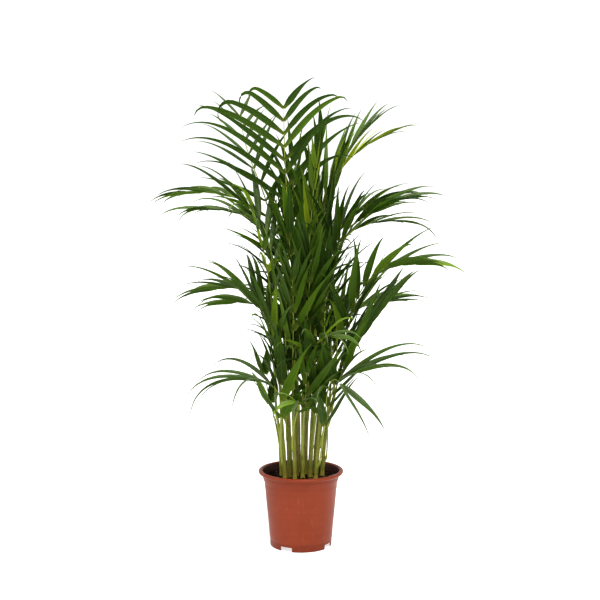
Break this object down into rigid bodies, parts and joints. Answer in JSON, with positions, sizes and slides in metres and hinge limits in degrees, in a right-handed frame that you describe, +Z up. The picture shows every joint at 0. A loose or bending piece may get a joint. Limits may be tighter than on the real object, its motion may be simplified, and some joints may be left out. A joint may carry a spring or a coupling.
{
  "type": "potted palm",
  "caption": "Bushy areca palm in a round terracotta-coloured plastic nursery pot: slender canes rise from dark compost into arching, feather-shaped green fronds.",
  "frame": {"origin": "on the ground plane, at the middle of the overall footprint, which is within 5 mm of the middle of the pot's foot", "axes": "+Z up along the pot's axis; -Y is the front, the side the picture shows; +X is the right of the picture"},
  "size_m": [0.5613, 0.4313, 0.8499],
  "materials": {
    "pot": "moulded polypropylene, terracotta brown, soft satin sheen",
    "potting_soil": "loose peat and bark compost, dark brown, matt",
    "cane": "smooth green-yellow palm cane with leaf scars",
    "leaf": "deep green leaflets, waxy satin upper side, paler underside",
    "leaf_young": "younger yellow-green leaflets, waxy satin"
  },
  "bodies": {
    "root": {"cane_a": "cane", "cane_b": "cane", "cane_c": "cane", "cane_d": "cane", "cane_e": "cane", "cane_f": "cane", "cane_g": "cane", "cane_h": "cane", "cane_i": "cane", "cane_j": "cane", "cane_k": "cane", "cane_l": "cane", "cane_m": "cane", "frond_arch_left": "leaf", "frond_arch_right": "leaf", "frond_back_arch": "leaf", "frond_back_centre": "leaf", "frond_back_high_left": "leaf", "frond_back_high_right": "leaf", "frond_back_inner_left": "leaf", "frond_back_inner_right": "leaf", "frond_back_left": "leaf", "frond_back_low_left": "leaf", "frond_back_low_right": "leaf", "frond_back_right": "leaf", "frond_bifid_left": "leaf", "frond_crown_centre": "leaf", "frond_crown_left": "leaf", "frond_crown_right": "leaf", "frond_dense_right": "leaf", "frond_drooping_right": "leaf", "frond_front_arch": "leaf", "frond_front_high_left": "leaf", "frond_front_high_right": "leaf", "frond_front_low": "leaf", "frond_front_lower_centre": "leaf", "frond_front_lower_left": "leaf", "frond_front_lower_right": "leaf", "frond_front_middle_left": "leaf", "frond_front_middle_right": "leaf_young", "frond_front_steep_left": "leaf", "frond_front_steep_right": "leaf", "frond_hanging_left": "leaf", "frond_hanging_right": "leaf", "frond_high_centre": "leaf", "frond_high_left": "leaf", "frond_high_right": "leaf", "frond_low_left": "leaf", "frond_low_right": "leaf", "frond_lower_left": "leaf", "frond_lower_right": "leaf", "frond_middle_left": "leaf", "frond_middle_right": "leaf", "frond_small_left": "leaf_young", "frond_steep_right": "leaf", "frond_young_centre": "leaf_young", "frond_young_right": "leaf_young", "pot": "pot", "potting_soil": "potting_soil"}
  },
  "joints": []
}
